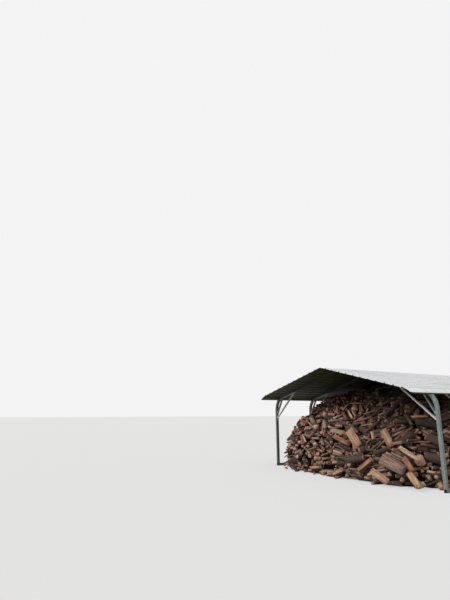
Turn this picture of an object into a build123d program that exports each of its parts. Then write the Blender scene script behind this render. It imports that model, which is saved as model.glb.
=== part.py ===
from build123d import *
import itertools
import math
import os
import random

# Log store: a galvanised tube frame with a ribbed sheet roof over a heap of split firewood.
# Sizes are in millimetres. X runs across the store, Y from its front to its back, Z up.
# The origin lies on the ground, in the middle of the roof's plan.

# Frame
frame_width = 5486.4        # over the outer faces of the legs, 18 ft
side_height = 1891.0        # ground to where the roof line would meet a leg's outer face
roof_rise = 3.0             # slope of the roof, as rise over run
roof_run = 12.0
tube = 63.5                 # square tube of legs, bows and rails, 2 1/2 in
tube_wall = 2.0
bend_radius = 381.0         # of a bow's centre line, 15 in
bow_tail = 110.0            # straight end of a bow below its bend
bow_count = 5
roof_length = 6400.8        # 21 ft
roof_overhang = 609.6       # roof edge to the middle of the end bow, 2 ft

# Slip joints of the tubes
slip_clearance = 0.3        # each side, between an inner tube and the tube over it
swage_end_gap = 15.0        # from the top of a leg, inside the bow, to the start of the bend
swage_shoulder = 4.0
stub_height = 100.0         # tube stub on a base rail, inside the leg

# Corner braces of folded channel
brace_width = 50.0
brace_flange = 22.0
brace_sheet = 2.0
brace_tab = 58.0            # flat end that is screwed to a tube
short_brace_drop = 20.0     # from the slip joint down to the short brace
brace_spacing = 105.0       # from the short brace's foot down to the long one's
long_brace_reach = 860.0    # from the leg's inner face, level
short_brace_margin = 10.0   # past the end of the bend
flange_clearance = 0.3

# Roof sheets
sheet_thickness = 1.0
sheet_gap = 0.5             # between a bow and the sheet on it
rib_pitch = 228.6           # 9 in
rib_base = 44.0
rib_top = 14.0
rib_height = 19.0
ribs_per_sheet = 4
sheets_per_slope = 3
ridge_gap = 6.0             # from the ridge line to a top sheet's edge, along the slope
lap_flange = 10.0           # flat beside the rib that a higher sheet covers
lap_lip = 6.0               # flat below a covering rib
lap_joggle = 5.0

# Ridge caps
cap_width = 150.0           # of one flange, down the slope
cap_lap = 120.0
cap_joggle = 6.0

# Firewood: a core that stands for the inside of the heap, with the outer splits laid on it
heap_seed = 1
split_length = 406.4        # 16 in
split_length_min = 230.0
split_width = 235.0         # widest face of a split
split_width_min = 150.0
split_gap = 22.0            # between one split and the next
split_spare = 60.0          # most by which a full split falls short of split_length
split_turn = 0.025          # most that a split is out of line with its row, as a slope
missing_share = 0.02        # places in the rows that are empty
wedge_share = 0.5           # splits that are wedges; the others are half round
wedge_height = 0.7          # of its width
round_height = 0.55         # of its width
round_side_height = 0.4     # of its width
round_side_reach = 0.75     # of half its width
heap_side_gap = 320.0       # from a leg's inner face to the foot of the core
heap_end_gap = 250.0        # from the roof's edge to the foot of the core
heap_headroom = 600.0       # from the roof line at the ridge to the top of the core
core_corner = 520.0         # cut off each corner of the core at its foot
core_levels = (0.0, 0.3, 0.5, 0.7, 0.86, 0.95, 1.0)         # as shares of its height
core_widths = (1.0, 1.0, 0.99, 0.97, 0.85, 0.73, 0.55)      # there, as shares of its foot's
core_lengths = (1.0, 0.94, 0.86, 0.74, 0.62, 0.48, 0.32)
node_gap = 0.3              # between one length of the core and the next
part_share = 0.34           # of the core's foot length in its front and in its back

# Worked out from the sizes above
slope = roof_rise / roof_run
slope_angle = math.atan(slope)
bend_turn = math.pi / 2 - slope_angle
half_tube = tube / 2
half_width = frame_width / 2
leg_x = half_width - half_tube
leg_inner_x = leg_x - half_tube
ridge_line = side_height + half_width * slope
bow_y = [
    (i / (bow_count - 1) - 0.5) * (roof_length - 2 * roof_overhang)
    for i in range(bow_count)
]
bend_x = leg_x - bend_radius
bend_z = ridge_line - half_tube / math.cos(slope_angle) - slope * bend_x \
    - bend_radius / math.cos(slope_angle)
joint_z = bend_z - bow_tail
outer_radius = bend_radius + half_tube
bend_start = (bend_x + outer_radius * math.cos(bend_turn)) / math.cos(slope_angle)
bend_step = 2 * math.acos(1 - sheet_gap / outer_radius) * outer_radius
core_half_width = leg_inner_x - heap_side_gap
core_half_length = roof_length / 2 - heap_end_gap
core_height = ridge_line - heap_headroom
core_part_y = core_half_length * (1 - 2 * part_share)


def at(x, z, y=0.0):
    """Point of the store's cross-section, which lies in the XZ plane."""
    return Vector(x, y, z)


def plate(outline, width, y=0.0):
    """Solid with an outline of (x, z) points, as wide as given, with its middle at y."""
    wire = Wire.make_polygon([at(x, z, y) for x, z in outline])
    return extrude(Face(wire), amount=width / 2, dir=(0, 1, 0), both=True)


def left_side(outline, shift):
    """Outline moved to its left by a fixed distance, with mitred corners."""
    normals = []
    for (ax, ay), (bx, by) in zip(outline, outline[1:]):
        length = math.hypot(bx - ax, by - ay)
        normals.append(((ay - by) / length, (bx - ax) / length))
    corners = list(zip([normals[0]] + normals, normals + [normals[-1]]))
    moved = []
    for (x, y), ((ax, ay), (bx, by)) in zip(outline, corners):
        mitre = shift / (1 + ax * bx + ay * by)
        moved.append((x + (ax + bx) * mitre, y + (ay + by) * mitre))
    return moved


def rafter_line(offset, x):
    """Height of the straight part of a bow, offset outwards from its centre line."""
    return ridge_line - (half_tube - offset) / math.cos(slope_angle) - slope * x


def bow_profile(inner, outer, tail, peak=0.0):
    """Face between two offsets from a bow's centre line, from its tail to the ridge."""
    def bend_point(offset, share):
        radius = bend_radius + offset
        angle = bend_turn * share
        return at(bend_x + radius * math.cos(angle), bend_z + radius * math.sin(angle))

    def run(offset):
        start, middle, end = (bend_point(offset, share) for share in (0, 0.5, 1))
        foot = at(leg_x + offset, tail)
        top = at(peak, rafter_line(offset, peak))
        return foot, start, middle, end, top

    in_foot, in_start, in_middle, in_end, in_top = run(inner)
    out_foot, out_start, out_middle, out_end, out_top = run(outer)
    return Face(Wire([
        Edge.make_line(in_foot, in_start),
        Edge.make_three_point_arc(in_start, in_middle, in_end),
        Edge.make_line(in_end, in_top),
        Edge.make_line(in_top, out_top),
        Edge.make_line(out_top, out_end),
        Edge.make_three_point_arc(out_end, out_middle, out_start),
        Edge.make_line(out_start, out_foot),
        Edge.make_line(out_foot, in_foot),
    ]))


def square_tube(x, y, bottom, top, width):
    """Upright square bar between two heights."""
    bar = Box(width, width, top - bottom)
    return Pos(x, y, (bottom + top) / 2) * bar


def bow_half(y):
    """Right half of a roof bow: straight tail, bend and rafter, of hollow tube."""
    inside = half_tube - tube_wall
    body = extrude(
        bow_profile(-half_tube, half_tube, joint_z), amount=half_tube, dir=(0, 1, 0), both=True)
    bore = extrude(
        bow_profile(-inside, inside, joint_z - tube_wall, -tube_wall),
        amount=inside, dir=(0, 1, 0), both=True)
    return Pos(0, y, 0) * (body - bore)


def leg(y):
    """Right leg: hollow tube that stands on its rail, with its top narrowed into the bow."""
    inside = tube - 2 * tube_wall
    neck = inside - 2 * slip_clearance
    neck_bore = neck - 2 * tube_wall
    top = bend_z - swage_end_gap
    body = square_tube(leg_x, y, tube, joint_z, tube) + square_tube(leg_x, y, joint_z, top, neck)
    bore = square_tube(leg_x, y, 0, joint_z - swage_shoulder, inside) \
        + square_tube(leg_x, y, 0, top + tube, neck_bore)
    return body - bore


def base_rail():
    """Right base rail: hollow tube on the ground, with a stub for each leg."""
    length = bow_y[-1] - bow_y[0] + tube
    inside = tube - 2 * tube_wall
    stub = inside - 2 * slip_clearance
    rail = Pos(leg_x, 0, half_tube) * Box(tube, length, tube)
    rail -= Pos(leg_x, 0, half_tube) * Box(inside, length + tube, inside)
    for y in bow_y:
        rail += square_tube(leg_x, y, tube, tube + stub_height, stub)
        rail -= square_tube(leg_x, y, half_tube, tube + stub_height + tube, stub - 2 * tube_wall)
    return rail


def brace(y, foot, head_x):
    """Right channel brace from the leg at height foot to the bow's underside at head_x."""
    along = (-math.cos(slope_angle), math.sin(slope_angle))
    head_z = rafter_line(-half_tube, head_x)
    line = [
        (leg_inner_x, foot - brace_tab),
        (leg_inner_x, foot),
        (head_x, head_z),
        (head_x + brace_tab * along[0], head_z + brace_tab * along[1]),
    ]
    web = plate(line + left_side(line, brace_sheet)[::-1], brace_width, y)
    side = line[1:3] + left_side(line[1:3], -brace_flange)[::-1]
    clear = bow_profile(-half_tube - flange_clearance, half_tube, 0)
    for edge in (-1, 1):
        flange_y = y + edge * (brace_width - brace_sheet) / 2
        flange = plate(side, brace_sheet, flange_y)
        flange -= extrude(Pos(0, flange_y, 0) * clear, amount=tube, dir=(0, 1, 0), both=True)
        web += flange
    return web


def corner_braces(y):
    """Right pair of braces at one leg, the long one below the short one."""
    short_foot = joint_z - short_brace_drop
    bend_end = bend_x + (bend_radius - half_tube) * math.cos(bend_turn)
    short_brace = brace(y, short_foot, bend_end - short_brace_margin)
    long_brace = brace(y, short_foot - brace_spacing, leg_inner_x - long_brace_reach)
    return Compound([short_brace.solid(), long_brace.solid()])


def on_roof(along, above):
    """Section point at a distance down the slope and above the bow, round the bend too."""
    above += sheet_gap
    if along <= bend_start:
        x = along * math.cos(slope_angle) + above * math.sin(slope_angle)
        return x, ridge_line - along * math.sin(slope_angle) + above * math.cos(slope_angle)
    angle = bend_turn - (along - bend_start) / outer_radius
    radius = outer_radius + above
    return bend_x + radius * math.cos(angle), bend_z + radius * math.sin(angle)


def rib(index):
    """Underside of one rib, as points down the slope and above the bow."""
    middle = index * rib_pitch - rib_base / 2
    return [
        (middle - rib_base / 2, 0.0),
        (middle - rib_top / 2, rib_height),
        (middle + rib_top / 2, rib_height),
        (middle + rib_base / 2, 0.0),
    ]


def follow_bend(outline):
    """Outline with points added where it runs round the bend."""
    points = [outline[0]]
    for (a, high), (b, next_high) in zip(outline, outline[1:]):
        steps = max(1, math.ceil((b - max(a, bend_start)) / bend_step))
        for i in range(1, steps + 1):
            share = i / steps
            points.append((a + (b - a) * share, high + (next_high - high) * share))
    return points


def roof_sheet(index):
    """Right roof sheet, the top one first, lapped over the sheet below it."""
    first = index * ribs_per_sheet
    last = first + ribs_per_sheet
    if index == 0:
        under = [(ridge_gap, 0.0)]
    else:
        start = rib(first)
        under = [(start[0][0] - lap_flange, 0.0)] + start
    for number in range(first + 1, last):
        under += rib(number)
    end = rib(last)
    if index == sheets_per_slope - 1:
        under += end
    else:
        covered = [(end[0][0] - lap_flange, 0.0)] + end + [(end[-1][0] + lap_lip, 0.0)]
        under += [(covered[0][0] - lap_joggle, 0.0)] + left_side(covered, sheet_thickness)
    under = follow_bend(under)
    over = left_side(under, sheet_thickness)
    return plate([on_roof(*point) for point in under + over[::-1]], roof_length)


def ridge_cap(front):
    """Ridge cap over one half of the roof; the front one laps over the back one."""
    def cap(level, start, end):
        low = level * sheet_thickness
        right = on_roof(cap_width, low)
        peak = (0.0, ridge_line + (sheet_gap + low) / math.cos(slope_angle))
        line = [(-right[0], right[1]), peak, right]
        return plate(line + left_side(line, sheet_thickness)[::-1], end - start, (start + end) / 2)

    if front:
        main = cap(1, -roof_length / 2, 0)
        return main + cap(2, -cap_joggle, cap_lap)
    return cap(1, 0, roof_length / 2)


def core_outline(level, width, length):
    """Plan of the core at one level: a rectangle with its corners cut off."""
    wide = core_half_width * width
    long = core_half_length * length
    cut = core_corner * width
    quarter = [(wide, long - cut), (wide - cut, long)]
    return [
        (x * right, y * back, core_height * level)
        for x, y in quarter for right in (-1, 1) for back in (-1, 1)
    ]


def heap_core():
    """The whole heap inside its outer splits, with flat sides that the splits lie on."""
    plans = zip(core_levels, core_widths, core_lengths)
    return ConvexPolyhedron([point for plan in plans for point in core_outline(*plan)])


def core_part(core, low_y, high_y):
    """Length of the core between two places along the store."""
    reach = 2 * (core_half_width + core_height)
    slab = Box(reach, high_y - low_y, reach)
    return (core & (Pos(0, (low_y + high_y) / 2, 0) * slab)).solid()


def split_section(width, chance):
    """End of a split, flat side down: a wedge, or a half round with its bark outside."""
    half = width / 2
    if chance.random() < wedge_share:
        return [(-half, 0), (half, 0), (half * chance.uniform(-0.5, 0.5), width * wedge_height)]
    side = half * round_side_reach
    return [(-half, 0), (half, 0), (side, width * round_side_height),
            (0, width * round_height), (-side, width * round_side_height)]


def split_log(centre, along, out, length, width, chance):
    """Split that lies with a flat face on the core, its length in the given direction."""
    plane = Plane(origin=centre, x_dir=out.cross(along), z_dir=along)
    section = Wire.make_polygon([Vector(x, y, 0) for x, y in split_section(width, chance)])
    log = extrude(Face(section), amount=length / 2, dir=(0, 0, 1), both=True)
    return (plane * log).solid()


def width_at(corners, height):
    """Reach of a flat side of the core, from left to right, at a height on it."""
    reach = []
    for (ax, ay), (bx, by) in itertools.permutations(corners, 2):
        if ay <= height <= by and by > ay:
            reach.append(ax + (bx - ax) * (height - ay) / (by - ay))
    return min(reach), max(reach)


def plan_rows(height, chance):
    """Rows that fill a height, each as its depth and whether its splits point up the slope."""
    upright = split_length + split_gap
    plans = []
    for tall in range(int(height / upright) + 1):
        rest = height - tall * upright
        if rest < split_width_min / 2:
            plans.append([(upright, True)] * tall)
        for flat in range(1, int(rest / (split_width_min + split_gap)) + 1):
            if rest / flat <= split_width + split_gap:
                plans.append([(upright, True)] * tall + [(rest / flat, False)] * flat)
    if not plans:
        plans.append([(height, False)])
    rows = chance.choice(plans)
    chance.shuffle(rows)
    return rows


def lay_row(corners, low, depth, upright, chance):
    """Places of the splits in one row: middle across and up, length and width of each."""
    ends = (low + split_gap / 2, low + depth - split_gap / 2)
    edges = [width_at(corners, end) for end in ends]
    right = min(edge[1] for edge in edges)
    place = max(edge[0] for edge in edges) + chance.uniform(0, split_gap)
    row = []
    while True:
        length = split_length - chance.uniform(0, split_spare)
        width = chance.uniform(split_width_min, split_width)
        if upright:
            width = min(width, right - place)
        else:
            length = min(length, right - place)
            width = min(width, depth - split_gap)
        if width < split_width_min or length < split_length_min:
            return row
        step, deep = (width, length) if upright else (length, width)
        spare = (depth - split_gap - deep) / 2
        lift = low + depth / 2 + chance.uniform(-spare, spare)
        if chance.random() > missing_share:
            row.append((place + step / 2, lift, length, width))
        place += step + split_gap


def lay_splits(face, chance):
    """Splits in rows on one flat side of the core, across it or up and down it."""
    out = face.normal_at()
    across = Vector(0, 0, 1).cross(out)
    across = across.normalized() if across.length else Vector(1, 0, 0)
    up = out.cross(across)
    middle = face.center()
    spots = [Vector(vertex) - middle for vertex in face.vertices()]
    corners = [(spot.dot(across), spot.dot(up)) for spot in spots]
    low = min(y for x, y in corners)
    height = max(y for x, y in corners) - low
    splits = []
    for depth, upright in plan_rows(height, chance):
        for place, lift, length, width in lay_row(corners, low, depth, upright, chance):
            turn = chance.uniform(-1, 1) * split_turn
            along = across + up * turn
            if upright:
                along = up + across * turn
            centre = middle + across * place + up * lift
            splits.append(split_log(centre, along.normalized(), out, length, width, chance))
        low += depth
    return splits


def outer_splits(core):
    """All splits on the core, side by side from the ground up."""
    chance = random.Random(heap_seed)
    foot = core.faces().sort_by(Axis.Z)[0]
    sides = [face for face in core.faces() if face != foot]
    sides.sort(key=lambda face: [round(part) for part in face.center()])
    return [split for side in sides for split in lay_splits(side, chance)]


def save(shape, name):
    export_step(shape, os.path.join("parts", name + ".step"))


def save_pair(shape, right, left):
    save(shape, right)
    save(mirror(shape, about=Plane.YZ), left)


os.makedirs("parts", exist_ok=True)

save_pair(base_rail(), "base_rail_right", "base_rail_left")
for number, y in enumerate(bow_y, 1):
    save_pair(leg(y), f"leg_right_{number}", f"leg_left_{number}")
    save_pair(bow_half(y), f"roof_bow_right_{number}", f"roof_bow_left_{number}")
    save_pair(corner_braces(y), f"braces_right_{number}", f"braces_left_{number}")

for index, place in enumerate(("upper", "middle", "lower")):
    save_pair(roof_sheet(index), f"roof_sheet_right_{place}", f"roof_sheet_left_{place}")
save(ridge_cap(True), "ridge_cap_front")
save(ridge_cap(False), "ridge_cap_back")

core = heap_core()
splits = outer_splits(core)
bounds = (-roof_length, -core_part_y, core_part_y, roof_length)
for place, start, end in zip(("front", "middle", "back"), bounds, bounds[1:]):
    save(core_part(core, start + node_gap / 2, end - node_gap / 2), f"firewood_{place}")
    laid = [split for split in splits if start <= split.center().Y < end]
    save(Compound(laid), f"loose_splits_{place}")
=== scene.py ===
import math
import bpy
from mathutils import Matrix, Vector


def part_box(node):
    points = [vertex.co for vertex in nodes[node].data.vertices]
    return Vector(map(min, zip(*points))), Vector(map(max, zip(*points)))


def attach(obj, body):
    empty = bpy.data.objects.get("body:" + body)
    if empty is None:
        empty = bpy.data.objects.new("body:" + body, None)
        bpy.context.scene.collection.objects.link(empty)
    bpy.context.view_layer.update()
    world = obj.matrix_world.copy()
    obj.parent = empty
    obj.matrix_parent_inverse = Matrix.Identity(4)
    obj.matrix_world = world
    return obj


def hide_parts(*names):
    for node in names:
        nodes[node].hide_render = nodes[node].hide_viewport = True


bl_info = {
    "name": "Log Store",
    "version": (1, 0, 0),
    "blender": (4, 5, 0),
    "location": "View3D > Sidebar > Log Store",
    "description": "Finishes, screws and firewood of an open steel-framed log store",
    "category": "Add Mesh",
}

from collections import namedtuple

import bpy
import numpy as np
from bpy.props import FloatProperty, FloatVectorProperty, IntProperty, PointerProperty
from mathutils import Matrix, Vector, noise
from mathutils.bvhtree import BVHTree

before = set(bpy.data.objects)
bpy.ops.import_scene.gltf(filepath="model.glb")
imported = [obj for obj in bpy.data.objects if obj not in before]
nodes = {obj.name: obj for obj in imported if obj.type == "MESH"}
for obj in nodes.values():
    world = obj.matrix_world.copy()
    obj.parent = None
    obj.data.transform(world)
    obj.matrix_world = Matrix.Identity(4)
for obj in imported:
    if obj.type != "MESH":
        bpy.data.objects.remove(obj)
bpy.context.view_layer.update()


def named(*starts):
    return [name for name in nodes if name.startswith(starts)]


FRAME_NODES = named("leg_", "roof_bow_", "base_rail_")
BRACE_NODES = named("braces_")
SHEET_NODES = named("roof_sheet_")
CAP_NODES = named("ridge_cap_")
HEAP_NODES = named("firewood_", "loose_splits_")
BOW_PLACES = sorted(sum(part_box(f"leg_right_{n}"), Vector()).y / 2 for n in range(1, 6))
LEG_X = sum(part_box("leg_right_1"), Vector()).x / 2

# As in the CAD model: roof slope, rib spacing and width, and where the sheets begin to bend
ROOF_SLOPE = math.atan(0.25)
RIB_PITCH = 0.2286
RIB_BASE = 0.044
BEND_LINE = 2.375
# Undersides of the bows, which fall 1 in 4 from the ridge, and of the long braces, which fall
# outwards from one place; and the line between long and short braces, with the same fall
BOW_HEIGHT, BOW_RUN = 2.50, 4
BRACE_X, BRACE_HEIGHT, BRACE_FALL = 1.82, 2.05, 0.84
BRACE_LINE = 3.58
OVERHEAD = 3.0

# Faces of a log, its sides and cross sections, and how many logs make up a piece
BARK, SPLIT_FACE, LOG_END = range(3)
LOG_SIDES = 12
LOG_RINGS = (-0.2, 0.17)
LOGS_IN_PIECE = 1500

CAMERA_PLACE = (8.663, -10.777, 1.469)
CAMERA_ANGLES = (104.155, 0.0, 60.657)
FLOOR_GLOW = 1.65
SEEN_SKY = 0.9


# ---- materials ----

def maths(operation, turned=False):
    """Method that adds a maths node of a value and others."""
    def method(value, *others):
        terms = (*others, value) if turned else (value, *others)
        return value.finish.node("Math", dict(enumerate(terms)), operation=operation)
    return method


class Value:
    """A shader socket that can stand in a sum."""

    def __init__(self, finish, socket):
        self.finish = finish
        self.socket = socket

    __add__ = __radd__ = maths("ADD")
    __sub__ = maths("SUBTRACT")
    __rsub__ = maths("SUBTRACT", turned=True)
    __mul__ = maths("MULTIPLY")
    __truediv__ = maths("DIVIDE")
    __mod__ = maths("FLOORED_MODULO")
    __abs__ = maths("ABSOLUTE")
    least = maths("MINIMUM")
    most = maths("MAXIMUM")

    def peak(self, width):
        """1 where the value is 0, falling to 0 at a width on either side."""
        return 1 - (abs(self) / width).least(1.0)

    def ramp(self, low, high):
        """0 below low, 1 above high, and a smooth rise between them."""
        return self.finish.node(
            "MapRange", {"Value": self, "From Min": low, "From Max": high},
            interpolation_type="SMOOTHSTEP")


class Finish:
    """A material, or a world, whose nodes are added one by one."""

    def __init__(self, name, kind="materials", shader="Principled BSDF"):
        self.owner = getattr(bpy.data, kind).new(name)
        self.owner.use_nodes = True
        self.tree = self.owner.node_tree
        self.shader = self.tree.nodes[shader]

    def node(self, kind, sockets, output=None, **settings):
        """One output of a new node, made with values or links for its sockets."""
        made = self.tree.nodes.new("ShaderNode" + kind)
        for name, setting in settings.items():
            setattr(made, name, setting)
        for name, value in sockets.items():
            self.feed(made.inputs[name], value)
        if output is None:
            output = next(i for i, socket in enumerate(made.outputs) if socket.enabled)
        return Value(self, made.outputs[output])

    def feed(self, socket, value):
        if isinstance(value, Value):
            self.tree.links.new(value.socket, socket)
        elif socket.type == "RGBA":
            socket.default_value = (*value, 1.0)
        else:
            socket.default_value = value

    def place(self):
        return self.node("TexCoord", {}, "Object")

    def axis(self, vector, index):
        return self.node("SeparateXYZ", {"Vector": vector}, index)

    def stretched(self, vector, factors):
        return self.node("VectorMath", {0: vector, 1: factors}, operation="MULTIPLY")

    def noise(self, vector, scale, detail=3.0, roughness=0.55):
        """Noise with one scale, or with one for each axis."""
        if isinstance(scale, tuple):
            vector, scale = self.stretched(vector, scale), 1.0
        return self.node(
            "TexNoise",
            {"Vector": vector, "Scale": scale, "Detail": detail, "Roughness": roughness}, "Fac")

    def rays(self, *kinds):
        """Whether a ray is of each of several kinds."""
        return [self.node("LightPath", {}, f"Is {kind} Ray") for kind in kinds]

    def blend(self, factor, first, second, way="MIX"):
        """Colour between two others, or one laid on the other in a given way."""
        # Sockets 6 and 7 take the two colours, and output 2 gives their blend
        return self.node(
            "Mix", {0: factor, 6: first, 7: second}, 2, data_type="RGBA", blend_type=way)

    def palette(self, value, *stops):
        """Colour by a value, from stop to stop, each with its place and colour."""
        made = self.node("ValToRGB", {"Fac": value}, "Color")
        elements = made.socket.node.color_ramp.elements
        while len(elements) < len(stops):
            elements.new(1.0)
        for element, (place, colour) in zip(elements, stops):
            element.position = place
            element.color = (*colour, 1.0)
        return made

    def bump(self, height, distance, strength=1.0):
        return self.node(
            "Bump", {"Height": height, "Distance": distance, "Strength": strength}, "Normal")

    def set(self, **sockets):
        """Values or links of the main shader, by socket names with _ for spaces."""
        for name, value in sockets.items():
            self.feed(self.shader.inputs[name.replace("_", " ")], value)
        return self.owner


def toned(colour, share):
    """A colour made darker or lighter."""
    return [min(1, part * share) for part in colour]


def zinc_finish(name, colour, grime_and_painted_shade, short_colour=None):
    """Dull galvanised steel with spangle, white rust, streaks and a stained foot, with painted
    shade on the left side and on the rafters under the roof.

    The short braces, which lie above the long ones, can have a colour of their own.
    """
    finish = Finish(name)
    place = finish.place()
    across, height = finish.axis(place, 0), finish.axis(place, 2)
    reach = abs(across)
    shares = (0.8, 1.18)
    colours = [toned(colour, share) for share in shares]
    if short_colour:
        above = (height + reach * BRACE_FALL - BRACE_LINE).ramp(0.03, 0.05)
        short = [toned(short_colour, share) for share in shares]
        colours = [finish.blend(above, *pair) for pair in zip(colours, short)]
    spangle = finish.node("TexVoronoi", {"Vector": place, "Scale": 55.0}, "Color")
    flake = finish.axis(spangle, 0)
    cloud = finish.noise(place, 3.2, 4.0)
    streak = finish.noise(place, (38.0, 38.0, 1.6), 4.0)
    base = finish.blend((flake * 0.5 + cloud * 0.5).ramp(0.2, 0.8), *colours)
    white_rust = (streak * 0.6 + cloud * 0.5).ramp(0.6, 0.78) * 0.45
    base = finish.blend(white_rust, base, (0.52, 0.54, 0.51))
    stain = (1 - height.ramp(0.03, 0.34)) * streak.ramp(0.35, 0.7) * grime_and_painted_shade
    base = finish.blend(stain, base, (0.13, 0.12, 0.075))
    # Painted shade: the left side of the frame made darker and olive, scaled by the grime
    # factor
    painted_left_shade = across.ramp(0.5, -0.5) * (cloud * 0.4 + 0.7) * grime_and_painted_shade
    base = finish.blend(painted_left_shade, base, (0.062, 0.066, 0.040))
    rust = finish.noise(place, 11.0, 5.0, 0.7).ramp(0.66, 0.74) * cloud.ramp(0.5, 0.62) * 0.7
    base = finish.blend(rust, base, (0.17, 0.075, 0.035))
    # Painted shade: tubes and braces high up under the roof made nearly black and a little
    # rougher
    painted_rafter_shade = reach.ramp(2.55, 2.3) * height.ramp(2.03, 2.1) * 0.85
    base = finish.blend(painted_rafter_shade, base, (0.022, 0.024, 0.018))
    rough = 0.44 + flake * 0.12 + white_rust * 0.4 + rust * 0.3 + painted_rafter_shade * 0.3
    return finish.set(
        Base_Color=base, Metallic=0.35, Roughness=rough.least(0.9),
        Normal=finish.bump(flake * 0.4 + streak * 0.6, 0.0006, 0.5))


def sheet_finish(name, top_colour, underside_shade_colour, dirt):
    """Weathered coating on ribbed sheet, with small ribs and streaks, painted shade along the
    ribs and at the bend, and an underside in painted shade with a painted green reflection.
    """
    finish = Finish(name)
    place = finish.place()
    across = abs(finish.axis(place, 0))
    upward = finish.axis(finish.node("NewGeometry", {}, "Normal"), 2)
    down_slope = across / math.cos(ROOF_SLOPE)
    phase = (down_slope / RIB_PITCH + RIB_BASE / 2 / RIB_PITCH) % 1.0
    beside = abs(phase - 0.5)
    small_rib = (beside - 0.165).peak(0.035)
    foot = (beside - 0.385).peak(0.03)
    cloud = finish.noise(finish.stretched(place, (1.0, 0.7, 1.0)), 1.6, 5.0)
    wash = finish.noise(place, (1.1, 26.0, 1.1), 4.0, 0.6)
    speck = finish.noise(place, 42.0, 3.0, 0.7)
    top = finish.blend(cloud.ramp(0.35, 0.7) * 0.6, top_colour, toned(top_colour, 0.86))
    soiled = wash.ramp(0.5, 0.74) * down_slope.ramp(0.2, 1.2) * dirt
    top = finish.blend(soiled, top, (0.33, 0.345, 0.335))
    # Painted shade: a darker line at the foot of each rib
    top = finish.blend(foot * cloud.ramp(0.3, 0.6) * 0.2, top, (0.30, 0.31, 0.30))
    # Painted shade: a faint darker line along each small rib
    top = finish.blend(small_rib * 0.15, top, (0.42, 0.44, 0.45))
    # Painted shade: a dark line along the bend where the sheet turns down to the eave
    bend = (down_slope - BEND_LINE).peak(0.03)
    top = finish.blend(bend * 0.7, top, (0.22, 0.225, 0.215))
    top = finish.blend(speck.ramp(0.63, 0.72) * dirt * 0.6, top, (0.21, 0.215, 0.19))
    eave = across.ramp(2.35, 2.74) * wash.ramp(0.4, 0.7) * 0.5
    top = finish.blend(eave, top, (0.26, 0.27, 0.25))
    mould = finish.noise(place, 5.0, 6.0, 0.65)
    # Painted shade and painted green reflection: the underside is dark olive, with real mould
    # and streaks on it
    under = finish.blend(mould.ramp(0.35, 0.7), underside_shade_colour, toned(underside_shade_colour, 0.55))
    under = finish.blend(wash.ramp(0.5, 0.7) * 0.3, under, (0.09, 0.10, 0.045))
    # Faces that point down take the painted underside shade, faces that point up the top colour
    base = finish.blend(upward.ramp(-0.1, 0.1), under, top)
    ripple = finish.noise(place, (2.0, 1.2, 2.0), 2.0)
    rough = 0.5 + cloud * 0.25 + speck * 0.1
    return finish.set(
        Base_Color=base, Roughness=rough.least(0.9), Specular_IOR_Level=0.3,
        Normal=finish.bump(small_rib * 0.7 + ripple * 0.5, 0.006, 0.5))


def wood_finish(name):
    """Finish, its coordinates along the grain, and how pale, weathered and red a log is."""
    finish = Finish(name)
    grain = finish.node("UVMap", {}, uv_map="grain")
    kind = finish.node("Attribute", {}, "Color", attribute_name="log_tone")
    return finish, grain, *(finish.axis(kind, index) for index in range(3))


def bark_finish():
    """Rough, furrowed bark from near black to grey, with pale patches."""
    finish, grain, tone, weather, red = wood_finish("log_bark")
    furrow = finish.noise(grain, (9.0, 46.0, 1.0), 4.0, 0.65)
    patch = finish.noise(grain, 14.0, 3.0)
    base = finish.palette(
        tone, (0.0, (0.026, 0.016, 0.012)), (0.35, (0.066, 0.041, 0.029)),
        (0.6, (0.14, 0.095, 0.069)), (0.85, (0.27, 0.205, 0.16)), (1.0, (0.46, 0.39, 0.32)))
    base = finish.blend(furrow.ramp(0.62, 0.38) * 0.75, base, (0.016, 0.012, 0.010))
    base = finish.blend(patch.ramp(0.55, 0.75) * weather * 0.6, base, (0.19, 0.18, 0.14))
    base = finish.blend(red * 0.4, base, (0.12, 0.052, 0.030))
    return finish.set(
        Base_Color=base, Roughness=0.9, Normal=finish.bump(furrow, 0.006, 0.8))


def split_finish():
    """Split faces with long fibres, from fresh tan and orange to weathered grey."""
    finish, grain, tone, weather, red = wood_finish("log_split")
    fibre = finish.noise(grain, (5.0, 120.0, 1.0), 4.0, 0.7)
    band = finish.noise(grain, (3.0, 30.0, 1.0))
    knot = finish.noise(grain, 9.0, 1.0)
    base = finish.palette(
        tone, (0.0, (0.10, 0.043, 0.024)), (0.25, (0.25, 0.113, 0.060)),
        (0.5, (0.44, 0.235, 0.125)), (0.72, (0.62, 0.39, 0.215)), (1.0, (0.84, 0.64, 0.42)))
    base = finish.blend(red * 0.5, base, (0.52, 0.21, 0.14))
    base = finish.blend(weather * 0.7, base, (0.27, 0.21, 0.17))
    base = finish.blend(band.ramp(0.42, 0.6) * 0.75, base, (0.40, 0.33, 0.28), "MULTIPLY")
    base = finish.blend(fibre.ramp(0.6, 0.36) * 0.7, base, (0.42, 0.34, 0.3), "MULTIPLY")
    base = finish.blend(knot.ramp(0.76, 0.82), base, (0.045, 0.025, 0.016))
    return finish.set(
        Base_Color=base, Roughness=0.82, Normal=finish.bump(fibre + band, 0.003, 0.8))


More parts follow.
